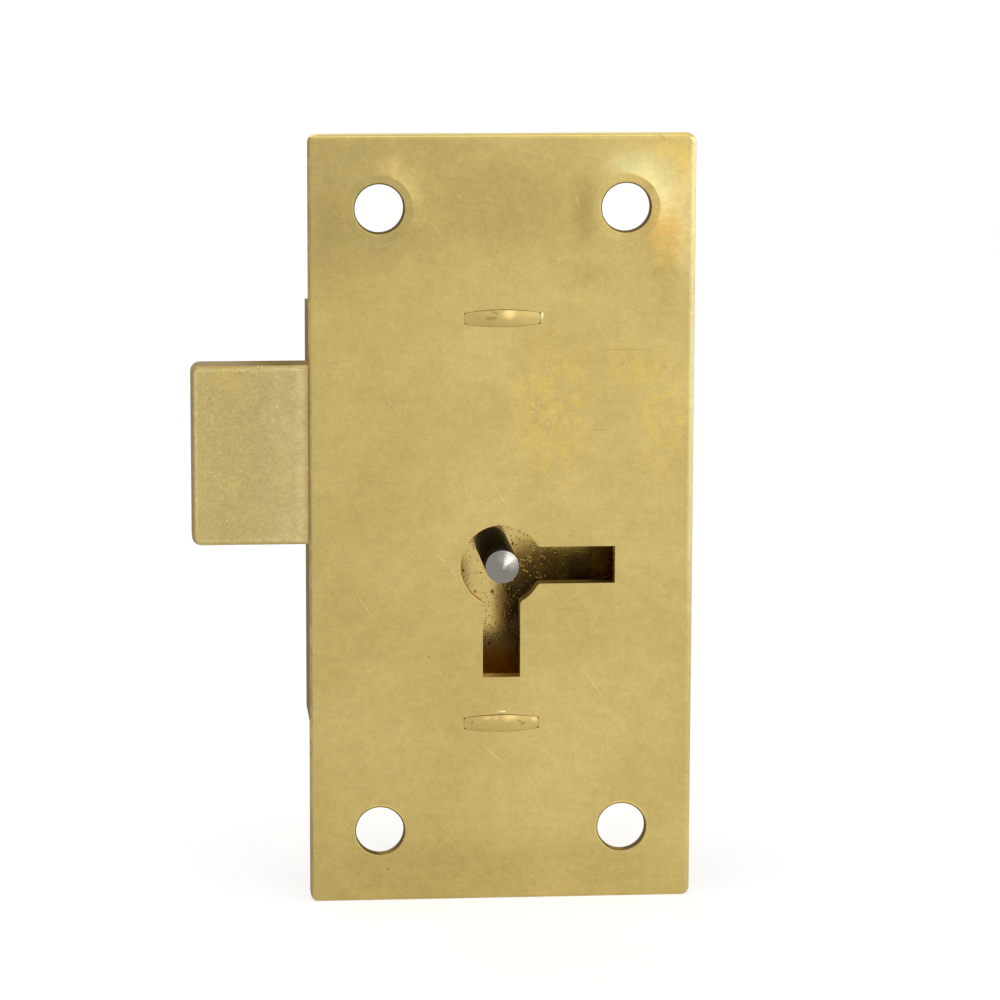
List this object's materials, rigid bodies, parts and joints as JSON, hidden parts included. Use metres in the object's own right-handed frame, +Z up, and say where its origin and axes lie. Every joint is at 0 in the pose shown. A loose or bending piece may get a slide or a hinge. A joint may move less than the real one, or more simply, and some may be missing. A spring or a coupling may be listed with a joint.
{
  "type": "cabinet lock",
  "caption": "Straight brass cupboard lock with a flat screw-on plate, L-shaped keyhole, drill pin, folded case, sliding deadbolt and sprung lever pack.",
  "frame": {"origin": "middle of the four screw holes, on the door face of the plate", "axes": "+X away from the thrown bolt along the door, +Y from the door into the lock, +Z up along the plate"},
  "size_m": [0.0414, 0.0123, 0.064],
  "materials": {
    "plate_brass": "satin rolled brass sheet with light tarnish",
    "case_brass": "dull folded brass sheet",
    "bolt_brass": "matt cast brass",
    "pin_steel": "turned steel",
    "post_brass": "turned brass",
    "lever_brass": "blanked brass sheet",
    "spring_bronze": "phosphor bronze strip"
  },
  "bodies": {
    "lock": {"lock_plate": "plate_brass", "case": "case_brass", "drill_pin": "pin_steel", "lever_post": "post_brass", "lever_stop": "post_brass", "base_washer": "post_brass"},
    "bolt": {"bolt": "bolt_brass", "bolt_stump": "pin_steel"},
    "lever_1": {"lever_1": "lever_brass", "lever_spring_1": "spring_bronze"},
    "lever_2": {"lever_2": "lever_brass", "lever_spring_2": "spring_bronze"},
    "lever_3": {"lever_3": "lever_brass", "lever_spring_3": "spring_bronze"},
    "lever_4": {"lever_4": "lever_brass", "lever_spring_4": "spring_bronze"}
  },
  "joints": [
    {"name": "bolt_slide", "type": "slide", "parent": "lock", "child": "bolt", "axis": [1, 0, 0], "range_m": [0, 0.0096]},
    {"name": "lever_1_lift", "type": "hinge", "parent": "lock", "child": "lever_1", "pos_m": [0.0026, 0.0053, 0.01039], "axis": [0, 1, 0], "range_deg": [-7, 5.5], "deforming": ["lever_spring_1"]},
    {"name": "lever_2_lift", "type": "hinge", "parent": "lock", "child": "lever_2", "pos_m": [0.0026, 0.0066, 0.01039], "axis": [0, 1, 0], "range_deg": [-9, 3.5], "deforming": ["lever_spring_2"]},
    {"name": "lever_3_lift", "type": "hinge", "parent": "lock", "child": "lever_3", "pos_m": [0.0026, 0.0079, 0.01039], "axis": [0, 1, 0], "range_deg": [-8, 4.5], "deforming": ["lever_spring_3"]},
    {"name": "lever_4_lift", "type": "hinge", "parent": "lock", "child": "lever_4", "pos_m": [0.0026, 0.0092, 0.01039], "axis": [0, 1, 0], "range_deg": [-10, 2.5], "deforming": ["lever_spring_4"]}
  ]
}
